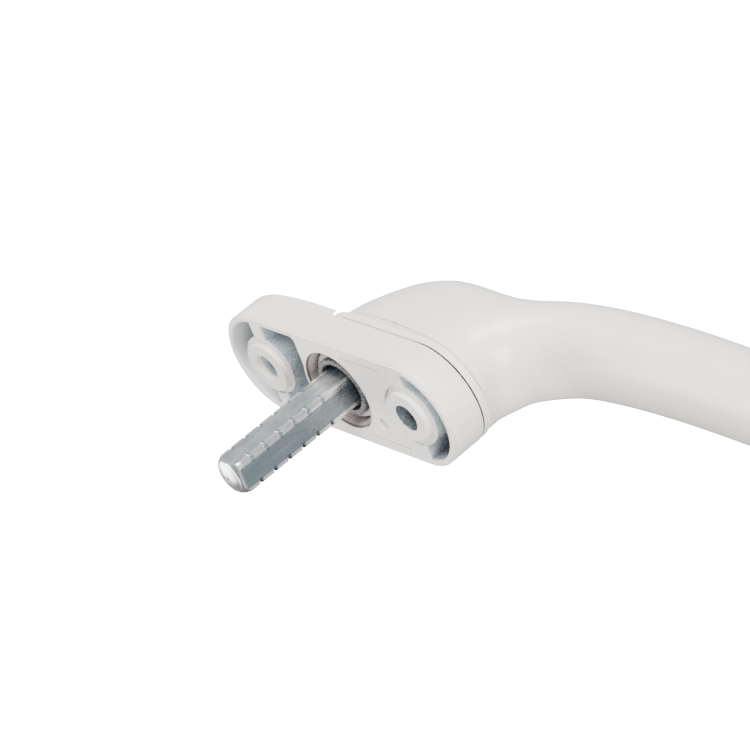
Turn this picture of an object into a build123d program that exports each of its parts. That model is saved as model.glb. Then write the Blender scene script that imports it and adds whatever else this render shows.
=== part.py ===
"""Tilt and turn window handle: rosette with a detent, and a lever on a square spindle.

Row frame, millimetres. The origin is on the spindle axis in the sash face, where the rosette rests.
+Y goes out of the rosette's back into the sash, -Y into the room, +Z is up along the rosette,
X is across it. The lever hangs down, along -Z, as on a closed window.
"""

import math
import os

from build123d import *

# Driving dimensions
SCREW_SPACING = 43.0
ROSETTE_WIDTH = 24.0
ROSETTE_LENGTH = 67.5
ROSETTE_DEPTH = 7.8
HUMP_HEIGHT = 2.0
HUMP_ARC_RADIUS = 12.7
RIM_WALL = 1.4
POCKET_DEPTH = 5.4
BOSS_RADIUS = 5.5
BOSS_STAND = 0.8
BOSS_WALL_RADIUS = 6.6
COLLAR_DEPTH = 0.35
SCREW_HOLE_RADIUS = 3.0
SCREW_HEAD_RADIUS = 4.9
BORE_RADIUS = 8.25
BORE_LIP = 0.8
SPINDLE_SIDE = 7.0
SPINDLE_OUT = 30.0
SPINDLE_IN = 17.5
SPINDLE_EDGE = 0.45
SQUARE_PLAY = 0.04
NOTCH_FIRST = 25.4
NOTCH_PITCH = 3.85
NOTCH_COUNT = 6
SLEEVE_RADIUS = 6.6
SLEEVE_BACK = -0.9
SLEEVE_FRONT = -19.0
PLATE_THICKNESS = 2.05
PLATE_GROOVE = 0.35
FOOT_GAP = 0.25
LEVER_REACH = 127.0
RUNNING = 0.05
BUSH_RADIUS = 7.45
DETENT_DEPTH = 4.3
DETENT_RADIUS = 1.6
DETENT_WALL = 0.1
DETENT_END = -15.6
INDEX_RADIUS = 7.7
PLUNGER_TIP = -7.9
PLUNGER_BACK = -11.4
PLUNGER_NOSE = 1.45
PIN_RADIUS = 1.25
PIN_DEPTH = 14.0
COVER_Z = -11.0
COVER_WIDTH = 18.5
COVER_HEIGHT = 12.5
SPRING_WIRE = 0.22
SPRING_COIL = 1.05
SPRING_TURNS = 5

# Worked-out sizes
HALF_WIDTH = ROSETTE_WIDTH / 2
HALF_LENGTH = ROSETTE_LENGTH / 2
SCREW_Z = SCREW_SPACING / 2
BACK = Plane.XZ
FOOT_LEVEL = ROSETTE_DEPTH + PLATE_THICKNESS + FOOT_GAP


def depth_plane(depth):
    """Sketch plane at a depth into the room: local x is X, local y is Z, and its normal is -Y."""
    return BACK.offset(depth)


def ring_profile(inner, outer, back, front):
    """Face of a ring about the spindle axis, from the depths back and front, for one turn about Y."""
    with BuildSketch(Plane.XY, mode=Mode.PRIVATE) as face:
        with Locations(((inner + outer) / 2, (back + front) / 2)):
            Rectangle(outer - inner, abs(front - back))
    return face.sketch


def save(piece, name):
    """Labels a finished piece and writes it as a STEP file of the same name."""
    piece.part.label = name
    export_step(piece.part, f"parts/{name}.step")


os.makedirs("parts", exist_ok=True)

# Rosette: a die-cast shell, open at the back, with a hump over its upper half
with BuildPart() as rosette:
    with BuildSketch(BACK):
        SlotOverall(ROSETTE_LENGTH, ROSETTE_WIDTH, rotation=90)
    extrude(amount=ROSETTE_DEPTH + HUMP_HEIGHT)
    with BuildSketch(depth_plane(ROSETTE_DEPTH)):
        Circle(HUMP_ARC_RADIUS)
        with Locations((0, -HALF_LENGTH / 2)):
            Rectangle(ROSETTE_WIDTH + 2, HALF_LENGTH + 2)
    extrude(amount=HUMP_HEIGHT + 1, mode=Mode.SUBTRACT)
    # the hump falls away in an arc towards the upper end
    hump_top = -(ROSETTE_DEPTH + HUMP_HEIGHT)
    with BuildSketch(Plane.YZ.offset(-HALF_WIDTH - 1)):
        with BuildLine():
            ThreePointArc((hump_top, 11), (hump_top + 0.75, 21), (hump_top + 4.2, HALF_LENGTH + 1))
            Polyline(
                (hump_top + 4.2, HALF_LENGTH + 1),
                (hump_top - 2, HALF_LENGTH + 1),
                (hump_top - 2, 11),
                (hump_top, 11),
            )
        make_face()
    extrude(amount=ROSETTE_WIDTH + 2, mode=Mode.SUBTRACT)
    front_edges = rosette.edges().filter_by(lambda e: e.center().Y < -4.5 and e.center().Z > 6)
    fillet(front_edges.filter_by(lambda e: abs((e @ 0.5).X) > 11 or (e @ 0.5).Z > 20), 1.2)
    # pockets in the back: a crescent at each end and a deep one above the bore
    with BuildSketch(BACK):
        SlotOverall(ROSETTE_LENGTH - 2 * RIM_WALL, ROSETTE_WIDTH - 2 * RIM_WALL, rotation=90)
        Rectangle(ROSETTE_WIDTH, 2 * SCREW_Z + 2.4, mode=Mode.SUBTRACT)
        with Locations((0, SCREW_Z)):
            Circle(BOSS_WALL_RADIUS, mode=Mode.SUBTRACT)
        with Locations((0, -SCREW_Z)):
            Circle(BOSS_WALL_RADIUS + 0.4, mode=Mode.SUBTRACT)
    extrude(amount=POCKET_DEPTH, mode=Mode.SUBTRACT)
    with BuildSketch(BACK):
        with Locations((0, SCREW_Z / 2 + 3.6)):
            RectangleRounded(ROSETTE_WIDTH - 2 * RIM_WALL, SCREW_Z - 10.4, 1.2)
        with Locations((0, SCREW_Z)):
            Circle(BOSS_WALL_RADIUS, mode=Mode.SUBTRACT)
        Circle(BORE_RADIUS + 1.3, mode=Mode.SUBTRACT)
    extrude(amount=POCKET_DEPTH + 0.9, mode=Mode.SUBTRACT)
    # locating bosses with a step, screw holes, and seats for countersunk heads
    for z in (SCREW_Z, -SCREW_Z):
        with BuildSketch(BACK):
            with Locations((0, z)):
                Circle(BOSS_RADIUS)
        extrude(amount=-BOSS_STAND)
        with BuildSketch(depth_plane(-BOSS_STAND)):
            with Locations((0, z)):
                Circle(SCREW_HOLE_RADIUS)
        extrude(amount=ROSETTE_DEPTH + HUMP_HEIGHT + 2, mode=Mode.SUBTRACT)
        with BuildSketch(depth_plane(ROSETTE_DEPTH)):
            with Locations((0, z)):
                Circle(SCREW_HEAD_RADIUS)
        with BuildSketch(depth_plane(ROSETTE_DEPTH - 1.9)):
            with Locations((0, z)):
                Circle(SCREW_HOLE_RADIUS)
        loft(mode=Mode.SUBTRACT)
        with BuildSketch(depth_plane(ROSETTE_DEPTH)):
            with Locations((0, z)):
                Circle(SCREW_HEAD_RADIUS)
        extrude(amount=HUMP_HEIGHT + 1, mode=Mode.SUBTRACT)
    # lower collar round each boss
    for z, wall_radius in ((SCREW_Z, BOSS_WALL_RADIUS), (-SCREW_Z, BOSS_WALL_RADIUS + 0.4)):
        with BuildSketch(BACK):
            with Locations((0, z)):
                Circle(wall_radius + 0.1)
                Circle(BOSS_RADIUS, mode=Mode.SUBTRACT)
        extrude(amount=COLLAR_DEPTH, mode=Mode.SUBTRACT)
    # bore with a chamfered mouth, and a lip at the front that holds the bush
    with BuildSketch(BACK):
        Circle(BORE_RADIUS)
    extrude(amount=ROSETTE_DEPTH - BORE_LIP, mode=Mode.SUBTRACT)
    with BuildSketch(BACK):
        Circle(BUSH_RADIUS)
    extrude(amount=ROSETTE_DEPTH + 1, mode=Mode.SUBTRACT)
    with BuildSketch(BACK):
        Circle(BORE_RADIUS + 0.7)
    with BuildSketch(depth_plane(1.1)):
        Circle(BORE_RADIUS)
    loft(mode=Mode.SUBTRACT)
    # recess for the detent cover, and the detent's channel under it
    with BuildSketch(BACK):
        with Locations((0, COVER_Z)):
            RectangleRounded(COVER_WIDTH + 0.5, COVER_HEIGHT + 0.5, 0.5)
        with Locations((0, -SCREW_Z)):
            Circle(BOSS_RADIUS + 0.9, mode=Mode.SUBTRACT)
        Circle(BORE_RADIUS + 0.75, mode=Mode.SUBTRACT)
    extrude(amount=1.0, mode=Mode.SUBTRACT)
    with BuildSketch(Plane.XY.offset(DETENT_END)):
        with Locations((0, -DETENT_DEPTH)):
            Circle(DETENT_RADIUS + DETENT_WALL)
        with Locations((0, -DETENT_DEPTH / 2 - 0.5)):
            Rectangle(2 * (DETENT_RADIUS + DETENT_WALL), DETENT_DEPTH - 1.0)
    extrude(amount=-DETENT_END - BORE_RADIUS + 1.0, mode=Mode.SUBTRACT)
    # fine line just inside the back rim
    with BuildSketch(BACK):
        SlotOverall(ROSETTE_LENGTH, ROSETTE_WIDTH, rotation=90)
        SlotOverall(ROSETTE_LENGTH - 0.8, ROSETTE_WIDTH - 0.8, rotation=90, mode=Mode.SUBTRACT)
    extrude(amount=0.3, mode=Mode.SUBTRACT)
save(rosette, "rosette")

# Detent cover: a thin plate over the channel, with an ejector dimple
with BuildPart() as detent_cover:
    with BuildSketch(depth_plane(0.05)):
        with Locations((0, COVER_Z)):
            RectangleRounded(COVER_WIDTH, COVER_HEIGHT, 0.4)
        with Locations((0, -SCREW_Z)):
            Circle(BOSS_RADIUS + 1.15, mode=Mode.SUBTRACT)
        Circle(BORE_RADIUS + 1.0, mode=Mode.SUBTRACT)
    extrude(amount=0.9)
    with BuildSketch(depth_plane(0.05)):
        with Locations((5.2, -11.1)):
            Circle(1.5)
    extrude(amount=0.5, mode=Mode.SUBTRACT)
save(detent_cover, "detent_cover")

# Detent plunger: a pin with a blunt conical nose, guided in the channel
with BuildPart() as detent_plunger:
    with BuildSketch(Plane.XY.offset(PLUNGER_BACK)):
        with Locations((0, -DETENT_DEPTH)):
            Circle(DETENT_RADIUS)
    extrude(amount=PLUNGER_TIP - PLUNGER_BACK)
    chamfer(detent_plunger.edges().group_by(Axis.Z)[-1], PLUNGER_NOSE)
save(detent_plunger, "detent_plunger")

# Detent spring: a short coil between the plunger and the end of the channel
with BuildPart() as detent_spring:
    spring_start = DETENT_END + SPRING_WIRE + 0.05
    spring_length = PLUNGER_BACK - DETENT_END - 2 * SPRING_WIRE - 0.1
    with BuildLine():
        coil = Helix(
            pitch=spring_length / SPRING_TURNS,
            height=spring_length,
            radius=SPRING_COIL,
            center=(0, -DETENT_DEPTH, spring_start),
        )
    with BuildSketch(Plane(origin=coil @ 0, z_dir=coil % 0)):
        Circle(SPRING_WIRE)
    sweep(path=coil)
save(detent_spring, "detent_spring")

# Neck bush: a flanged nylon bush in the rosette's front lip
with BuildPart() as neck_bush:
    add(ring_profile(SLEEVE_RADIUS + RUNNING, BUSH_RADIUS, -7.0, -ROSETTE_DEPTH - PLATE_THICKNESS))
    add(ring_profile(SLEEVE_RADIUS + RUNNING, BORE_RADIUS - 0.1, -6.4, -7.0))
    revolve(axis=Axis.Y)
save(neck_bush, "neck_bush")

# Glide plate: a plastic plate between the rosette's front and the lever's foot, narrower where it meets
# the rosette, which leaves a fine groove all round
with BuildPart() as glide_plate:
    layers = ((0, PLATE_GROOVE, 0.5, 1.2), (PLATE_GROOVE, PLATE_THICKNESS - PLATE_GROOVE, 0.1, 0.0))
    for start, thickness, inset, shorter in layers:
        half = HALF_WIDTH - inset
        reach = HALF_LENGTH - HALF_WIDTH - shorter
        with BuildSketch(depth_plane(ROSETTE_DEPTH + start)):
            Circle(half)
            with Locations((0, -reach / 2)):
                SlotOverall(reach + 2 * half, 2 * half, rotation=90)
            Circle(BUSH_RADIUS, mode=Mode.SUBTRACT)
            with Locations((0, -SCREW_Z)):
                Circle(SCREW_HEAD_RADIUS + 0.3, mode=Mode.SUBTRACT)
        extrude(amount=thickness)
save(glide_plate, "glide_plate")

# Drive sleeve: carries the square hole, its back end is upset over the retaining ring
with BuildPart() as drive_sleeve:
    add(ring_profile(0, SLEEVE_RADIUS, SLEEVE_BACK, SLEEVE_FRONT))
    revolve(axis=Axis.Y)
    with BuildSketch(depth_plane(-SLEEVE_BACK)):
        Rectangle(SPINDLE_SIDE + SQUARE_PLAY, SPINDLE_SIDE + SQUARE_PLAY)
    extrude(amount=SPINDLE_IN + SLEEVE_BACK + 0.2, mode=Mode.SUBTRACT)
    with BuildSketch(depth_plane(-SLEEVE_BACK)):
        Circle(5.3)
    extrude(amount=1.6, mode=Mode.SUBTRACT)
    chamfer(drive_sleeve.edges().group_by(Axis.Y)[-1], 0.25)
    with BuildSketch(Plane.YZ.offset(-SLEEVE_RADIUS)):
        with Locations((-PIN_DEPTH, 0)):
            Circle(PIN_RADIUS)
    extrude(amount=2 * SLEEVE_RADIUS, mode=Mode.SUBTRACT)
    with BuildSketch(depth_plane(1.9)):
        Circle(SLEEVE_RADIUS + 1)
        Circle(6.2, mode=Mode.SUBTRACT)
    extrude(amount=0.7, mode=Mode.SUBTRACT)
save(drive_sleeve, "drive_sleeve")

# Retaining ring: an open ring in the sleeve's groove
with BuildPart() as retaining_ring:
    with BuildSketch(depth_plane(1.95)):
        Circle(7.5)
        Circle(6.25, mode=Mode.SUBTRACT)
        with Locations((0, 7)):
            Rectangle(2.4, 3, mode=Mode.SUBTRACT)
    extrude(amount=0.6)
save(retaining_ring, "retaining_ring")

# Thrust washer between the retaining ring and the index ring
with BuildPart() as thrust_washer:
    with BuildSketch(depth_plane(2.6)):
        Circle(7.8)
        Circle(SLEEVE_RADIUS + 0.02, mode=Mode.SUBTRACT)
    extrude(amount=0.4)
save(thrust_washer, "thrust_washer")

# Index ring: four V notches, one for each quarter turn
with BuildPart() as index_ring:
    with BuildSketch(depth_plane(3.0)):
        Circle(INDEX_RADIUS)
        Circle(SLEEVE_RADIUS, mode=Mode.SUBTRACT)
        with PolarLocations(INDEX_RADIUS + 0.35, 4, start_angle=90):
            Rectangle(1.7, 1.7, rotation=45, mode=Mode.SUBTRACT)
    extrude(amount=2.7)
save(index_ring, "index_ring")

# Spring washer: a shallow cone that takes up the end play
with BuildPart() as spring_washer:
    with BuildSketch(Plane.XY):
        Polygon((6.7, -5.72), (8.0, -6.03), (8.0, -6.35), (6.7, -6.04), align=None)
    revolve(axis=Axis.Y)
save(spring_washer, "spring_washer")

# Spindle: a 7 mm square bar with snap-off notches over its edges and a turned, domed end
with BuildPart() as spindle:
    with BuildSketch(depth_plane(SPINDLE_IN)):
        Rectangle(SPINDLE_SIDE, SPINDLE_SIDE)
    extrude(amount=-(SPINDLE_IN + SPINDLE_OUT))
    chamfer(spindle.edges().filter_by(Axis.Y), SPINDLE_EDGE)
    with BuildSketch(Plane.XY):
        with BuildLine():
            Line((0, -SPINDLE_IN), (5.4, -SPINDLE_IN))
            Line((5.4, -SPINDLE_IN), (5.4, SPINDLE_OUT - 3.4))
            Line((5.4, SPINDLE_OUT - 3.4), (4.5, SPINDLE_OUT - 2.0))
            ThreePointArc((4.5, SPINDLE_OUT - 2.0), (3.9, SPINDLE_OUT - 0.9), (2.9, SPINDLE_OUT - 0.45))
            ThreePointArc((2.9, SPINDLE_OUT - 0.45), (1.6, SPINDLE_OUT - 0.1), (0.0, SPINDLE_OUT))
            Line((0.0, SPINDLE_OUT), (0, -SPINDLE_IN))
        make_face()
    revolve(axis=Axis.Y, mode=Mode.INTERSECT)
    for n in range(NOTCH_COUNT):
        y = NOTCH_FIRST - n * NOTCH_PITCH
        with BuildSketch(Plane.XY):
            Polygon((3.95, y), (5.2, y - 0.75), (5.2, y + 0.75), align=None)
        revolve(axis=Axis.Y, mode=Mode.SUBTRACT)
    with BuildSketch(Plane.XY):
        Polygon((0, SPINDLE_OUT + 0.1), (0.55, SPINDLE_OUT + 0.1), (0, SPINDLE_OUT - 0.5), align=None)
    revolve(axis=Axis.Y, mode=Mode.SUBTRACT)
    with BuildSketch(Plane.YZ.offset(-SLEEVE_RADIUS)):
        with Locations((-PIN_DEPTH, 0)):
            Circle(PIN_RADIUS)
    extrude(amount=2 * SLEEVE_RADIUS, mode=Mode.SUBTRACT)
save(spindle, "spindle")

# Spindle pin: a cross pin through the sleeve and the spindle
with BuildPart() as spindle_pin:
    with BuildSketch(Plane.YZ.offset(-SLEEVE_RADIUS + 0.2)):
        with Locations((-PIN_DEPTH, 0)):
            Circle(PIN_RADIUS)
    extrude(amount=2 * SLEEVE_RADIUS - 0.4)
save(spindle_pin, "spindle_pin")

# Lever: foot, elbow neck and grip, lofted through rounded sections. The neck's sections fan out about
# a pivot in the crook of the elbow, and the grip's are level.
PIVOT_Y = -FOOT_LEVEL
PIVOT_Z = -46.0
# angle from the foot, inner and outer distance from the pivot, half width, squareness of the section
NECK = (
    (0, 12.2, 56.9, 12.0, 2.6),
    (5, 12.7, 56.0, 12.0, 2.7),
    (12, 13.8, 53.0, 12.0, 2.8),
    (20, 14.7, 49.0, 12.0, 3.0),
    (28, 14.8, 43.5, 11.7, 3.0),
    (36, 14.5, 35.8, 11.0, 2.5),
    (45, 14.2, 30.0, 10.7, 2.3),
    (56, 14.2, 27.2, 10.5, 2.3),
    (68, 14.1, 26.5, 10.3, 2.4),
    (80, 14.0, 26.5, 10.2, 2.4),
)
# distance below the spindle axis, centre's depth, half width, half thickness
GRIP = (
    (50.0, 31.2, 10.0, 6.8),
    (64.0, 32.0, 9.9, 6.8),
    (80.0, 31.8, 9.8, 6.8),
    (96.0, 31.1, 9.7, 6.6),
    (110.0, 30.4, 9.3, 6.1),
    (119.0, 30.0, 8.4, 5.2),
    (124.4, 29.8, 6.5, 3.8),
    (LEVER_REACH - 0.6, 29.7, 4.0, 2.2),
    (LEVER_REACH, 29.7, 1.5, 0.9),
)
SECTION_POINTS = 20
STEPS = 3


def rounded_section(half_x, half_y, power):
    """Points of a closed superellipse of the given half sizes."""
    points = []
    for n in range(SECTION_POINTS):
        a = 2 * math.pi * n / SECTION_POINTS
        c = math.cos(a)
        s = math.sin(a)
        x = half_x * math.copysign(abs(c) ** (2 / power), c)
        y = half_y * math.copysign(abs(s) ** (2 / power), s)
        points.append((x, y))
    return points


def neck_station(angle, inner, outer, half_x, power):
    """Station of the neck: centre Y and Z, turn from the foot, half sizes and squareness."""
    a = math.radians(angle)
    middle = (inner + outer) / 2
    y = PIVOT_Y - middle * math.sin(a)
    z = PIVOT_Z + middle * math.cos(a)
    return (y, z, angle, half_x, (outer - inner) / 2, power)


def between(before, start, end, after, t):
    """Point of the smooth curve through four neighbouring stations, from start (t = 0) to end (t = 1)."""
    station = []
    for p, q, r, s in zip(before, start, end, after):
        station.append(q + t / 2 * (r - p + t * (2 * p - 5 * q + 4 * r - s + t * (3 * (q - r) + s - p))))
    return station


stations = [neck_station(*row) for row in NECK]
stations += [(-depth, -below, 90, half_x, half_y, 2.35) for below, depth, half_x, half_y in GRIP]
closed = [stations[0]] + stations + [stations[-1]]

with BuildPart() as lever:
    for n in range(len(stations) - 1):
        for step in range(STEPS + 1):
            y, z, angle, half_x, half_y, power = between(*closed[n : n + 4], step / STEPS)
            a = math.radians(min(angle, 90))
            section_plane = Plane(origin=(0, y, z), x_dir=(1, 0, 0), z_dir=(0, -math.cos(a), -math.sin(a)))
            with BuildSketch(section_plane):
                with BuildLine():
                    Spline(*rounded_section(half_x, half_y, power), periodic=True)
                make_face()
        loft()
    with BuildSketch(depth_plane(FOOT_LEVEL - 1)):
        Circle(SLEEVE_RADIUS)
    extrude(amount=-SLEEVE_FRONT - FOOT_LEVEL + 1.1, mode=Mode.SUBTRACT)
save(lever, "lever")
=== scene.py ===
"""Looks of the tilt and turn window handle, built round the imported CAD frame. Metres, row frame.

The origin is on the spindle axis in the sash face, +Y goes out of the rosette's back into the sash,
+Z is up along the rosette, and the lever hangs along -Z.
"""

import math

import bmesh
import bpy
from mathutils import Matrix, Vector


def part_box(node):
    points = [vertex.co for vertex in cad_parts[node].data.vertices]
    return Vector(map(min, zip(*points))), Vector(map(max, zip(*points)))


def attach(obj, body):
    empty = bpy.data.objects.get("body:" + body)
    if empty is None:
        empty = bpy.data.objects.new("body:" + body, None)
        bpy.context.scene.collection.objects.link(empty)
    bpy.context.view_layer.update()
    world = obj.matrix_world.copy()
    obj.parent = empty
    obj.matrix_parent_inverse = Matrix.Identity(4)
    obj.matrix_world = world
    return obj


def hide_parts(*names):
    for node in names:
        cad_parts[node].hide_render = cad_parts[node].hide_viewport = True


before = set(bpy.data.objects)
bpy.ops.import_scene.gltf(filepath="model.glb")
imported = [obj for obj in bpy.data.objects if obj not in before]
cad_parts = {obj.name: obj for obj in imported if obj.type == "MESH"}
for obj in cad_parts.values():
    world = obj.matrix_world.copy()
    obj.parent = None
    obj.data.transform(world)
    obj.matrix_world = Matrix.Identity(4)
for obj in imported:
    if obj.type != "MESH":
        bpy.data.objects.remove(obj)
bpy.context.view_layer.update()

MM = 0.001

# Sizes that the looks share with the CAD parts
HALF_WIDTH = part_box("rosette")[1].x
END_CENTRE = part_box("rosette")[1].z - HALF_WIDTH
BACK_RIM_WALL = 1.4 * MM
FRONT_FACE = -7.8 * MM
PLATE_GROOVE = 0.35 * MM
FRONT_LIP = -7.0 * MM
BORE_MOUTH = 9.0 * MM
SCREW_Z = 21.5 * MM
SCREW_HOLE = 3.0 * MM
DIMPLE = (5.2 * MM, -11.1 * MM)
DIMPLE_RADIUS = 1.5 * MM
SPINDLE_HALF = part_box("spindle")[1].x
SPINDLE_RECESS = 5.45 * MM
EDGE_BAND = 1.25 * MM
TURNED_END = 1.5 * MM
TURNING_PITCH = 0.5 * MM
SPINDLE_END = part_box("spindle")[1].y
NOTCH_FIRST = 25.4 * MM
NOTCH_PITCH = 3.85 * MM
NOTCH_COUNT = 6
NOTCH_LAST = NOTCH_FIRST - (NOTCH_COUNT - 1) * NOTCH_PITCH
NOTCH_FLOOR = 3.95 * MM
SLEEVE_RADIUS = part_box("drive_sleeve")[1].x
FOOT_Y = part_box("lever")[1].y


# ---------------------------------------------------------------- materials


class Look:
    """A Principled material, with helpers that add a node and hand back its output."""

    def __init__(self, name, **constants):
        self.material = bpy.data.materials.new(name)
        self.material.use_nodes = True
        self.tree = self.material.node_tree
        self.shader = self.tree.nodes["Principled BSDF"]
        self.place = self.tree.nodes.new("ShaderNodeTexCoord").outputs["Object"]
        split = self.tree.nodes.new("ShaderNodeSeparateXYZ")
        self.tree.links.new(self.place, split.inputs[0])
        self.x, self.y, self.z = split.outputs
        for socket, value in constants.items():
            self.shader.inputs[socket.replace("_", " ")].default_value = value

    def node(self, kind, inputs, output=0, **settings):
        made = self.tree.nodes.new(kind)
        for name, value in settings.items():
            setattr(made, name, value)
        for key, value in inputs.items():
            if isinstance(value, bpy.types.NodeSocket):
                self.tree.links.new(value, made.inputs[key])
            else:
                made.inputs[key].default_value = value
        return made.outputs[output]

    def maths(self, operation, a, b=0.0):
        return self.node("ShaderNodeMath", {0: a, 1: b}, operation=operation)

    def fade(self, value, start, end, low=0.0, high=1.0):
        """low where value is start, high where it is end, smooth between them and level outside."""
        limits = {"From Min": start, "From Max": end, "To Min": low, "To Max": high}
        inputs = {"Value": value, **limits}
        return self.node("ShaderNodeMapRange", inputs, interpolation_type="SMOOTHSTEP")

    def noise(self, size, detail=3.0, rough=0.55, stretch=(1, 1, 1)):
        """Noise from 0 to 1 with features of about this size in metres, drawn out by stretch."""
        scale = tuple(1 / (size * s) for s in stretch)
        where = self.node("ShaderNodeMapping", {"Vector": self.place, "Scale": scale})
        inputs = {"Vector": where, "Scale": 1.0, "Detail": detail, "Roughness": rough}
        return self.node("ShaderNodeTexNoise", inputs)

    def mix(self, share, a, b):
        return self.node("ShaderNodeMix", {0: share, 6: a, 7: b}, output=2, data_type="RGBA")

    def distance(self, x, z):
        """Distance from the origin of the plane in which the two given values are coordinates."""
        squares = self.maths("ADD", self.maths("MULTIPLY", x, x), self.maths("MULTIPLY", z, z))
        return self.maths("SQRT", squares)

    def bump(self, height, depth, under=None):
        inputs = {"Height": height, "Distance": depth, "Strength": 1.0}
        if under is not None:
            inputs["Normal"] = under
        return self.node("ShaderNodeBump", inputs)

    def finish(self, colour, roughness, normal):
        self.tree.links.new(colour, self.shader.inputs["Base Color"])
        self.tree.links.new(roughness, self.shader.inputs["Roughness"])
        self.tree.links.new(normal, self.shader.inputs["Normal"])
        return self.material


def rgb(red, green, blue):
    return (red, green, blue, 1.0)


PAINT = rgb(0.82, 0.765, 0.70)
PAINT_THIN = rgb(0.79, 0.745, 0.685)
# painted shade: cast zinc coloured dark as if in shade, for the pockets and screw holes
ZINC_CAST_SHADED = rgb(0.13, 0.165, 0.185)
ZINC_DARK = rgb(0.035, 0.037, 0.04)
ZINC_PALE = rgb(0.32, 0.37, 0.40)
# painted light: a lighter, lit tone of the same zinc, for the upper pocket
ZINC_LIT = rgb(0.56, 0.58, 0.59)
UNDERSIDE_PALE = rgb(0.36, 0.38, 0.40)
# partly bare zinc, partly painted shade in the detent cover's dimple
DIMPLE_GREY_AND_SHADE = rgb(0.34, 0.36, 0.38)
# painted shade: the groove round the glide plate's foot
GROOVE_SHADE = rgb(0.03, 0.03, 0.03)
SLEEVE_DARK = rgb(0.02, 0.02, 0.021)
SLEEVE_GREY = rgb(0.23, 0.225, 0.23)
# painted shade: the gap inside the drive sleeve, round the spindle
RECESS_SHADE = rgb(0.02, 0.02, 0.022)
PLATING_BLUE = rgb(0.42, 0.50, 0.53)
PLATING_GREY = rgb(0.60, 0.64, 0.64)
# painted shade: the spindle's lower side
LOWER_FACE_SHADE = rgb(0.16, 0.20, 0.22)
DRAWN_LINE = rgb(0.22, 0.28, 0.31)
DRAWN_STREAK = rgb(0.80, 0.84, 0.86)
# painted highlight: the spindle's edges; its turned end gets the same colour
EDGE_HIGHLIGHT_AND_TIP = rgb(0.90, 0.92, 0.93)
# painted shade: one flank of each snap-off notch
NOTCH_SHADE = rgb(0.12, 0.15, 0.165)
TAUPE = rgb(0.24, 0.19, 0.165)
TAUPE_PALE = rgb(0.42, 0.37, 0.34)


def coat_parts(look):
    """Colour, roughness and normal of a satin powder coat with a fine orange peel."""
    cloud = look.noise(9 * MM, detail=2)
    colour = look.mix(look.fade(cloud, 0.35, 0.65), PAINT, PAINT_THIN)
    peel = look.noise(0.9 * MM, detail=2, rough=0.4)
    grain = look.noise(0.16 * MM, detail=1)
    roughness = look.fade(peel, 0.3, 0.7, 0.27, 0.36)
    normal = look.bump(grain, 0.0012 * MM, look.bump(peel, 0.006 * MM))
    return colour, roughness, normal


def powder_coat():
    look = Look("powder_coat", Coat_Weight=0.35, Coat_Roughness=0.16)
    return look.finish(*coat_parts(look))


def rosette_coat():
    """Powder coat outside and on the rims. In the pockets it is thin and the cast zinc shows through,
    coloured dark as painted shade and lighter in the upper pocket as painted light; the bore is left raw
    and stained, with painted shade round its mouth, and the screw holes are raw and rough, painted dark as
    shade."""
    look = Look("rosette_coat", Coat_Weight=0.2, Coat_Roughness=0.2)
    colour, roughness, normal = coat_parts(look)
    speckle = look.noise(0.35 * MM, detail=4, rough=0.7)
    patches = look.noise(3.5 * MM, detail=3)
    beyond = look.maths("MAXIMUM", look.maths("SUBTRACT", look.maths("ABSOLUTE", look.z), END_CENTRE), 0.0)
    from_spine = look.distance(look.x, beyond)
    wall = HALF_WIDTH - BACK_RIM_WALL
    inside = look.fade(from_spine, wall + 0.35 * MM, wall + 0.1 * MM)
    behind_lip = look.fade(look.y, FRONT_LIP - 0.2 * MM, FRONT_LIP)
    depth = look.fade(look.y, -0.1 * MM, -0.9 * MM)
    bare = look.maths("MULTIPLY", look.maths("MULTIPLY", inside, behind_lip), depth)
    bare = look.maths("MULTIPLY", bare, look.fade(patches, 0.25, 0.6, 0.8, 1.0))
    # painted shade: the bare zinc in the pockets is coloured dark, as zinc in shade
    zinc = look.mix(look.fade(speckle, 0.35, 0.7), ZINC_CAST_SHADED, ZINC_PALE)
    # painted light: towards the rosette's upper end the zinc turns to the lighter, lit tone
    zinc = look.mix(look.fade(look.z, 23 * MM, 26 * MM), zinc, ZINC_LIT)
    colour = look.mix(bare, colour, zinc)
    # the bore's raw, stained wall
    from_axis = look.distance(look.x, look.z)
    bore = look.fade(from_axis, BORE_MOUTH + 0.05 * MM, BORE_MOUTH - 0.1 * MM)
    bore = look.maths("MULTIPLY", bore, behind_lip)
    stain_and_shade = look.mix(look.fade(speckle, 0.3, 0.7), TAUPE, TAUPE_PALE)
    # painted shade: a dark band is painted on the bore wall near its mouth
    stain_and_shade = look.mix(look.fade(look.y, -0.6 * MM, -0.25 * MM, 0.0, 0.85), stain_and_shade, ZINC_DARK)
    colour = look.mix(bore, colour, stain_and_shade)
    # the screw holes' raw walls, painted dark as shade inside the holes, darker towards the front
    to_hole = look.distance(look.x, look.maths("SUBTRACT", look.z, -SCREW_Z))
    hole = look.fade(to_hole, SCREW_HOLE + 0.24 * MM, SCREW_HOLE + 0.12 * MM)
    hole = look.maths("MULTIPLY", hole, look.fade(look.y, 0.78 * MM, 0.5 * MM))
    raw_zinc_and_shade = look.mix(look.fade(speckle, 0.4, 0.7), ZINC_DARK, ZINC_CAST_SHADED)
    colour = look.mix(hole, colour, raw_zinc_and_shade)
    raw = look.maths("MAXIMUM", look.maths("MAXIMUM", bare, bore), hole)
    roughness = look.maths("ADD", roughness, look.maths("MULTIPLY", raw, 0.12))
    pitted = look.maths("MULTIPLY", speckle, raw)
    return look.finish(colour, roughness, look.bump(pitted, 0.06 * MM, normal))


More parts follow.
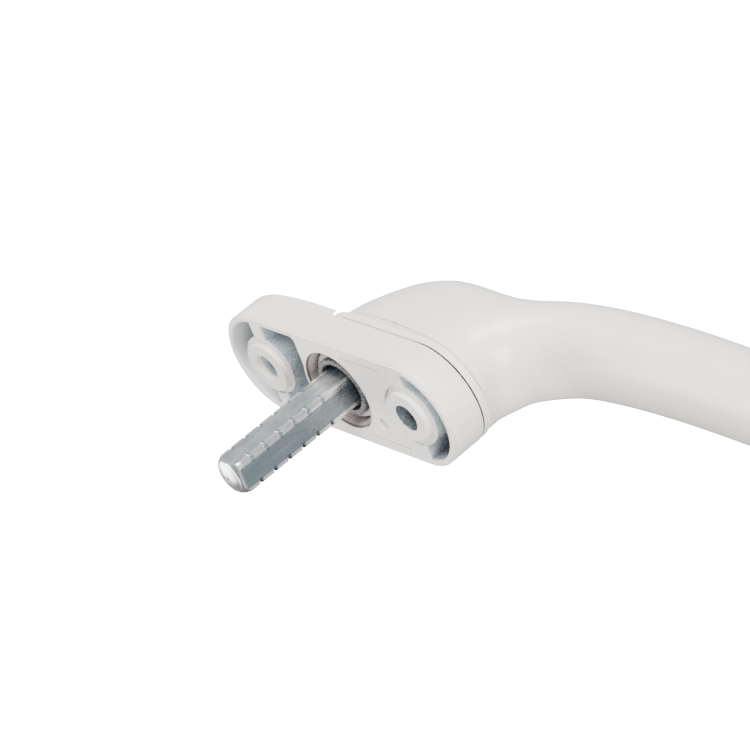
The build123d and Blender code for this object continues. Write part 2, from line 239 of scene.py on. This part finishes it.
def plate_plastic():
    """White plastic in the coat's tone, with painted shade inside the groove round its foot, fuller towards
    the lower end.
    """
    look = Look("white_plastic", Roughness=0.4)
    cloud = look.noise(4 * MM, detail=3)
    grain = look.noise(0.2 * MM, detail=2)
    colour = look.mix(look.fade(cloud, 0.3, 0.7), PAINT, PAINT_THIN)
    # painted shade: the groove's wall is coloured near black, more towards the lower end
    groove = look.fade(look.y, FRONT_FACE - PLATE_GROOVE - 0.14 * MM, FRONT_FACE - PLATE_GROOVE - 0.05 * MM)
    groove = look.maths("MULTIPLY", groove, look.fade(look.z, -16 * MM, -26 * MM, 0.3, 1.0))
    colour = look.mix(groove, colour, GROOVE_SHADE)
    return look.finish(colour, look.fade(grain, 0.3, 0.7, 0.34, 0.44), look.bump(grain, 0.004 * MM))


def cover_coat():
    """Powder coat with a greyer dimple, where a mould pin marked the casting; the grey is partly bare zinc
    and partly painted shade in the hollow.
    """
    look = Look("cover_coat", Coat_Weight=0.1, Coat_Roughness=0.2)
    colour, roughness, normal = coat_parts(look)
    across = look.maths("SUBTRACT", look.x, DIMPLE[0])
    along = look.maths("SUBTRACT", look.z, DIMPLE[1])
    dimple = look.fade(look.distance(across, along), DIMPLE_RADIUS + 0.05 * MM, DIMPLE_RADIUS - 0.15 * MM)
    sunk = look.fade(look.y, -0.1 * MM, -0.35 * MM)
    # painted shade: the sunk dimple is greyed, partly as bare zinc, so that its hollow shows
    share = look.maths("MULTIPLY", look.maths("MULTIPLY", dimple, sunk), 0.8)
    colour = look.mix(share, colour, DIMPLE_GREY_AND_SHADE)
    return look.finish(colour, roughness, normal)


def cast_underside():
    """Raw cast zinc of the lever's foot, where it faces the rosette."""
    look = Look("cast_underside", Metallic=0.4)
    speckle = look.noise(0.5 * MM, detail=5, rough=0.75)
    colour = look.mix(look.fade(speckle, 0.38, 0.66), ZINC_DARK, UNDERSIDE_PALE)
    roughness = look.fade(speckle, 0.3, 0.7, 0.45, 0.7)
    return look.finish(colour, roughness, look.bump(speckle, 0.3 * MM))


def sleeve_metal():
    """Sintered steel with an upset, dented end."""
    look = Look("sleeve_metal", Metallic=0.55)
    speckle = look.noise(0.45 * MM, detail=5, rough=0.7)
    dents = look.noise(1.4 * MM, detail=2)
    colour = look.mix(look.fade(speckle, 0.32, 0.68), SLEEVE_DARK, SLEEVE_GREY)
    from_axis = look.distance(look.x, look.z)
    # painted shade: the sleeve's end is coloured near black inside, round the spindle
    recess_shade = look.fade(from_axis, SPINDLE_RECESS, SPINDLE_RECESS - 0.2 * MM)
    colour = look.mix(look.maths("MULTIPLY", recess_shade, 0.9), colour, RECESS_SHADE)
    roughness = look.fade(speckle, 0.3, 0.7, 0.4, 0.62)
    return look.finish(colour, roughness, look.bump(speckle, 0.10 * MM, look.bump(dents, 0.25 * MM)))


def spindle_metal():
    """Zinc plated bar: drawn lines along it, clouded plating, a painted highlight along its edges, painted
    shade on its lower side and in its notches, a turned end in the same bright colour as the highlight.
    """
    look = Look("spindle_metal", Metallic=1.0)
    lines = look.noise(0.22 * MM, detail=3, stretch=(1, 34, 1))
    wide = look.noise(1.3 * MM, detail=2, stretch=(1, 9, 1))
    cloud = look.noise(5 * MM, detail=3)
    colour = look.mix(look.fade(cloud, 0.35, 0.65), PLATING_BLUE, PLATING_GREY)
    colour = look.mix(look.fade(lines, 0.45, 0.7, 0.0, 0.5), colour, DRAWN_LINE)
    colour = look.mix(look.fade(wide, 0.5, 0.72, 0.0, 0.4), colour, DRAWN_STREAK)
    # painted highlight: a near-white band along the bar's edges
    corner = look.maths("ADD", look.maths("ABSOLUTE", look.x), look.maths("ABSOLUTE", look.z))
    edge = look.fade(corner, 2 * SPINDLE_HALF - EDGE_BAND, 2 * SPINDLE_HALF - 0.8 * EDGE_BAND)
    # painted shade: the side below is darkened
    below = look.fade(look.z, 0.25 * MM - SPINDLE_HALF, 0.1 * MM - SPINDLE_HALF, 0.0, 0.75)
    colour = look.mix(below, colour, LOWER_FACE_SHADE)
    # the turned end gets the same bright colour as the painted edge highlight
    tip = look.fade(look.y, SPINDLE_END - TURNED_END, SPINDLE_END - 0.8 * MM)
    bright = look.maths("MAXIMUM", edge, tip)
    colour = look.mix(look.maths("MULTIPLY", bright, 0.85), colour, EDGE_HIGHLIGHT_AND_TIP)
    # painted shade: each snap-off notch is darkened on one flank, towards the rosette, more on the +X side
    phase = look.maths("ADD", look.maths("SUBTRACT", NOTCH_FIRST, look.y), 0.5 * NOTCH_PITCH)
    past = look.maths("SUBTRACT", look.maths("MODULO", phase, NOTCH_PITCH), 0.5 * NOTCH_PITCH)
    start = look.fade(past, 0.02 * MM, 0.1 * MM)
    flank = look.maths("MULTIPLY", start, look.fade(past, 0.7 * MM, 0.55 * MM))
    from_axis = look.distance(look.x, look.z)
    flank = look.maths("MULTIPLY", flank, look.fade(from_axis, NOTCH_FLOOR, NOTCH_FLOOR + 0.1 * MM))
    flank = look.maths("MULTIPLY", flank, look.fade(look.y, NOTCH_LAST - 1.0 * MM, NOTCH_LAST - 0.8 * MM))
    flank = look.maths("MULTIPLY", flank, look.fade(look.x, -1.0 * MM, 1.0 * MM, 0.5, 0.9))
    colour = look.mix(flank, colour, NOTCH_SHADE)
    roughness = look.fade(lines, 0.3, 0.7, 0.24, 0.42)
    roughness = look.maths("SUBTRACT", roughness, look.maths("MULTIPLY", bright, 0.08))
    turned = look.maths("SINE", look.maths("MULTIPLY", from_axis, 2 * math.pi / TURNING_PITCH))
    turned = look.maths("MULTIPLY", turned, tip)
    along = look.maths("MULTIPLY", lines, look.maths("SUBTRACT", 1.0, tip))
    normal = look.bump(turned, 0.006 * MM, look.bump(along, 0.02 * MM))
    return look.finish(colour, roughness, normal)


def bright_metal(name, light, dark, rough_low, rough_high):
    """Small turned or stamped steel parts with fine scratches and a little dirt."""
    look = Look(name, Metallic=1.0)
    scratches = look.noise(0.2 * MM, detail=4, stretch=(1, 6, 1))
    dirt = look.noise(1.5 * MM, detail=3)
    colour = look.mix(look.fade(dirt, 0.45, 0.75), light, dark)
    roughness = look.fade(scratches, 0.3, 0.7, rough_low, rough_high)
    return look.finish(colour, roughness, look.bump(scratches, 0.01 * MM))


def moulded(name, light, dark):
    """Moulded plastic with a fine eroded texture."""
    look = Look(name)
    cloud = look.noise(4 * MM, detail=3)
    grain = look.noise(0.18 * MM, detail=3, rough=0.6)
    colour = look.mix(look.fade(cloud, 0.3, 0.7), light, dark)
    roughness = look.fade(grain, 0.3, 0.7, 0.42, 0.58)
    return look.finish(colour, roughness, look.bump(grain, 0.012 * MM))


def floor_paint():
    look = Look("floor_paint")
    cloud = look.noise(0.4, detail=3)
    colour = look.mix(cloud, rgb(0.80, 0.80, 0.80), rgb(0.84, 0.84, 0.84))
    grain = look.noise(1.5 * MM, detail=2)
    return look.finish(colour, look.fade(grain, 0.3, 0.7, 0.55, 0.65), look.bump(grain, 0.05 * MM))


STEEL_LIGHT = rgb(0.78, 0.77, 0.76)
STEEL_DARK = rgb(0.52, 0.50, 0.48)
bright_steel = bright_metal("bright_steel", STEEL_LIGHT, STEEL_DARK, 0.18, 0.32)
spring_steel = bright_metal("spring_steel", rgb(0.36, 0.35, 0.35), rgb(0.22, 0.21, 0.2), 0.28, 0.45)
coat = powder_coat()

NODE_MATERIALS = {
    "rosette": rosette_coat(),
    "detent_cover": cover_coat(),
    "detent_plunger": bright_steel,
    "detent_spring": spring_steel,
    "neck_bush": moulded("brown_nylon", rgb(0.34, 0.28, 0.24), rgb(0.27, 0.22, 0.19)),
    "glide_plate": plate_plastic(),
    "drive_sleeve": sleeve_metal(),
    "retaining_ring": bright_metal("ring_steel", rgb(0.27, 0.26, 0.25), rgb(0.13, 0.12, 0.115), 0.34, 0.5),
    "thrust_washer": bright_steel,
    "index_ring": bright_steel,
    "spring_washer": spring_steel,
    "spindle": spindle_metal(),
    "spindle_pin": bright_steel,
}


def dress_node(name, material, edge_radius):
    """Gives a CAD node its material and, with a radius, softly rounded edges."""
    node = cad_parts[name]
    node.data.materials.clear()
    node.data.materials.append(material)
    if edge_radius:
        weld = node.modifiers.new("weld", "WELD")
        weld.merge_threshold = 0.002 * MM
        bevel = node.modifiers.new("soft_edges", "BEVEL")
        bevel.width = edge_radius
        bevel.segments = 3
        bevel.limit_method = "ANGLE"
        bevel.angle_limit = math.radians(38)
        bevel.harden_normals = True


EDGE_RADIUS = {
    "rosette": 0.18 * MM,
    "detent_cover": 0.08 * MM,
    "glide_plate": 0.06 * MM,
    "spindle": 0.12 * MM,
    "drive_sleeve": 0.12 * MM,
}
for node_name, node_material in NODE_MATERIALS.items():
    dress_node(node_name, node_material, EDGE_RADIUS.get(node_name))


# ---------------------------------------------------------------- lever

# The neck's sections fan out about a pivot in the crook of the elbow.
# Angle from the foot, inner and outer distance from the pivot, half width, squareness; mm.
PIVOT = (FOOT_Y / MM, -46.0)
NECK = (
    (0, 12.2, 56.9, 12.0, 2.6),
    (5, 12.7, 56.0, 12.0, 2.7),
    (12, 13.8, 53.0, 12.0, 2.8),
    (20, 14.7, 49.0, 12.0, 3.0),
    (28, 14.8, 43.5, 11.7, 3.0),
    (36, 14.5, 35.8, 11.0, 2.5),
    (45, 14.2, 30.0, 10.7, 2.3),
    (56, 14.2, 27.2, 10.5, 2.3),
    (68, 14.1, 26.5, 10.3, 2.4),
    (80, 14.0, 26.5, 10.2, 2.4),
)
# Distance below the spindle axis, centre's depth, half width, half thickness; mm.
GRIP = (
    (50.0, 31.2, 10.0, 6.8),
    (64.0, 32.0, 9.9, 6.8),
    (80.0, 31.8, 9.8, 6.8),
    (96.0, 31.1, 9.7, 6.6),
    (110.0, 30.4, 9.3, 6.1),
    (119.0, 30.0, 8.4, 5.2),
    (124.4, 29.8, 6.5, 3.8),
    (126.4, 29.7, 4.0, 2.2),
    (127.0, 29.7, 1.5, 0.9),
)
GRIP_POWER = 2.35
AROUND = 72
STEPS = 8
FOOT_ROLL = 0.9
FOOT_ROLL_STEPS = 6
SOCKET_FLOOR = -19.1


def neck_station(angle, inner, outer, half_x, power):
    """Centre Y and Z, turn from the foot, half sizes and squareness of a section of the neck, in mm."""
    a = math.radians(angle)
    middle = (inner + outer) / 2
    y = PIVOT[0] - middle * math.sin(a)
    z = PIVOT[1] + middle * math.cos(a)
    return (y, z, angle, half_x, (outer - inner) / 2, power)


def between(before, start, end, after, t):
    """Point of the cubic B-spline of four stations in a row, near start at t = 0 and near end at 1."""
    weights = ((1 - t) ** 3, 3 * t**3 - 6 * t**2 + 4, 3 * (t + t**2 - t**3) + 1, t**3)
    station = []
    for values in zip(before, start, end, after):
        station.append(sum(w * v for w, v in zip(weights, values)) / 6)
    return station


def section_ring(station, inset=0.0):
    """Points of one superellipse section in metres, drawn in by inset mm."""
    y, z, angle, half_x, half_y, power = station
    turn = math.radians(min(angle, 90))
    outward = Vector((0, -math.sin(turn), math.cos(turn)))
    ring = []
    for n in range(AROUND):
        a = 2 * math.pi * n / AROUND
        c = math.cos(a)
        s = math.sin(a)
        across = (half_x - inset) * math.copysign(abs(c) ** (2 / power), c)
        out = (half_y - inset) * math.copysign(abs(s) ** (2 / power), s)
        ring.append((Vector((across, y, z)) + outward * out) * MM)
    return ring


def socket_ring(y):
    """Circle of the sleeve's socket at a height in mm, with its points in step with a section's."""
    ring = []
    for n in range(AROUND):
        a = 2 * math.pi * n / AROUND
        ring.append(Vector((SLEEVE_RADIUS * math.cos(a), y * MM, SLEEVE_RADIUS * math.sin(a))))
    return ring


def lever_rings():
    """All rings of the lever, from the socket's floor out over the foot and along to the grip's end."""
    stations = [neck_station(*row) for row in NECK]
    stations += [(-depth, -below, 90, half_x, half_y, GRIP_POWER) for below, depth, half_x, half_y in GRIP]
    closed = 2 * [stations[0]] + stations + 2 * [stations[-1]]
    rings = [socket_ring(SOCKET_FLOOR), socket_ring(PIVOT[0])]
    # the foot's edge is rolled: its first sections are drawn in, and each is where the roll has risen to
    first_rise = stations[0][0] - between(*closed[0:4], 1.0)[0]
    roll_end = (FOOT_ROLL / first_rise) ** (1 / 3)
    for n in range(FOOT_ROLL_STEPS):
        a = math.pi / 2 * n / FOOT_ROLL_STEPS
        rise = FOOT_ROLL * (1 - math.cos(a))
        t = (rise / first_rise) ** (1 / 3)
        rings.append(section_ring(between(*closed[0:4], t), FOOT_ROLL * (1 - math.sin(a))))
    for n in range(len(closed) - 3):
        start = roll_end if n == 0 else 0.0
        for step in range(STEPS):
            t = start + (1 - start) * step / STEPS
            rings.append(section_ring(between(*closed[n : n + 4], t)))
    rings.append(section_ring(stations[-1]))
    return rings


def skin(name, rings):
    """Mesh object through closed rings of equal count, capped at both ends."""
    mesh = bmesh.new()
    rows = [[mesh.verts.new(p) for p in ring] for ring in rings]
    for row, following in zip(rows, rows[1:]):
        for n in range(AROUND):
            m = (n + 1) % AROUND
            mesh.faces.new((row[n], row[m], following[m], following[n]))
    mesh.faces.new(reversed(rows[0]))
    mesh.faces.new(rows[-1])
    bmesh.ops.recalc_face_normals(mesh, faces=mesh.faces)
    for face in mesh.faces:
        face.smooth = True
    data = bpy.data.meshes.new(name)
    mesh.to_mesh(data)
    mesh.free()
    made = bpy.data.objects.new(name, data)
    bpy.context.scene.collection.objects.link(made)
    return made


def build_lever():
    lever = skin("lever_casting", lever_rings())
    lever.data.materials.append(coat)
    lever.data.materials.append(cast_underside())
    for face in lever.data.polygons:
        if face.center.y > FOOT_Y - 0.01 * MM or all(
            math.hypot(lever.data.vertices[v].co.x, lever.data.vertices[v].co.z) < SLEEVE_RADIUS + 0.01 * MM
            and lever.data.vertices[v].co.y > SOCKET_FLOOR * MM - 0.01 * MM
            for v in face.vertices
        ):
            face.material_index = 1
            face.use_smooth = False
    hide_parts("lever")
    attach(lever, "lever_body")
    return lever


build_lever()


# ---------------------------------------------------------------- camera, lights and floor

CAMERA_PLACE = Vector((-0.4264, 0.3484, -0.6076))
CAMERA_TARGET = Vector((0.0, -0.0068, -0.0038))
CAMERA_UP = Vector((-0.79155, -0.5685, 0.22415))
LENS = 201.6
SENSOR = 36.0
CLIP_START = 0.01
CLIP_END = 20

forward = (CAMERA_TARGET - CAMERA_PLACE).normalized()
right = forward.cross(CAMERA_UP).normalized()
up = right.cross(forward)


def add_camera():
    data = bpy.data.cameras.new("camera")
    data.lens = LENS
    data.sensor_width = SENSOR
    data.clip_start = CLIP_START
    data.clip_end = CLIP_END
    camera = bpy.data.objects.new("camera", data)
    axes = Matrix((right, up, -forward)).transposed()
    camera.matrix_world = Matrix.Translation(CAMERA_PLACE) @ axes.to_4x4()
    bpy.context.scene.collection.objects.link(camera)
    bpy.context.scene.camera = camera


def soft_light(name, to_right, to_up, to_back, size, power, colour=(1.0, 1.0, 1.0)):
    """Square softbox aimed at the handle, placed along the picture's right, up and back, in metres."""
    data = bpy.data.lights.new(name, "AREA")
    data.shape = "SQUARE"
    data.size = size
    data.energy = power
    data.color = colour
    light = bpy.data.objects.new(name, data)
    place = CAMERA_TARGET + right * to_right + up * to_up - forward * to_back
    light.location = place
    light.rotation_mode = "QUATERNION"
    light.rotation_quaternion = (place - CAMERA_TARGET).to_track_quat("Z", "Y")
    bpy.context.scene.collection.objects.link(light)


def add_world(low_strength, high_strength, seen_strength):
    """White surround: its light grows from the picture's foot to its head, and the camera sees it even."""
    world = bpy.data.worlds.new("surround")
    world.use_nodes = True
    tree = world.node_tree
    tree.nodes.clear()
    lit = tree.nodes.new("ShaderNodeBackground")
    lit.inputs["Color"].default_value = rgb(0.97, 0.985, 1.0)
    towards = tree.nodes.new("ShaderNodeTexCoord").outputs["Generated"]
    height = tree.nodes.new("ShaderNodeVectorMath")
    height.operation = "DOT_PRODUCT"
    height.inputs[1].default_value = up
    tree.links.new(towards, height.inputs[0])
    strength = tree.nodes.new("ShaderNodeMapRange")
    strength.interpolation_type = "SMOOTHSTEP"
    strength.inputs["From Min"].default_value = -0.8
    strength.inputs["From Max"].default_value = 0.9
    strength.inputs["To Min"].default_value = low_strength
    strength.inputs["To Max"].default_value = high_strength
    tree.links.new(height.outputs["Value"], strength.inputs["Value"])
    tree.links.new(strength.outputs[0], lit.inputs["Strength"])
    seen = tree.nodes.new("ShaderNodeBackground")
    seen.inputs["Strength"].default_value = seen_strength
    seen.inputs["Color"].default_value = rgb(1.0, 1.0, 1.0)
    path = tree.nodes.new("ShaderNodeLightPath")
    chosen = tree.nodes.new("ShaderNodeMixShader")
    out = tree.nodes.new("ShaderNodeOutputWorld")
    tree.links.new(path.outputs["Is Camera Ray"], chosen.inputs[0])
    tree.links.new(lit.outputs[0], chosen.inputs[1])
    tree.links.new(seen.outputs[0], chosen.inputs[2])
    tree.links.new(chosen.outputs[0], out.inputs["Surface"])
    bpy.context.scene.world = world


def add_floor(height, side):
    mesh = bmesh.new()
    bmesh.ops.create_grid(mesh, x_segments=8, y_segments=8, size=side / 2)
    data = bpy.data.meshes.new("floor")
    mesh.to_mesh(data)
    mesh.free()
    floor = bpy.data.objects.new("floor", data)
    floor.location = (0, 0, height)
    data.materials.append(floor_paint())
    bpy.context.scene.collection.objects.link(floor)


add_camera()
add_world(low_strength=0.25, high_strength=0.9, seen_strength=24.0)
add_floor(height=-1.25, side=8.0)
soft_light("key", to_right=-0.45, to_up=0.75, to_back=0.75, size=0.8, power=40)
soft_light("front", to_right=0.3, to_up=-0.45, to_back=0.95, size=0.7, power=24)
soft_light("side", to_right=-0.8, to_up=-0.35, to_back=-0.35, size=0.6, power=8)
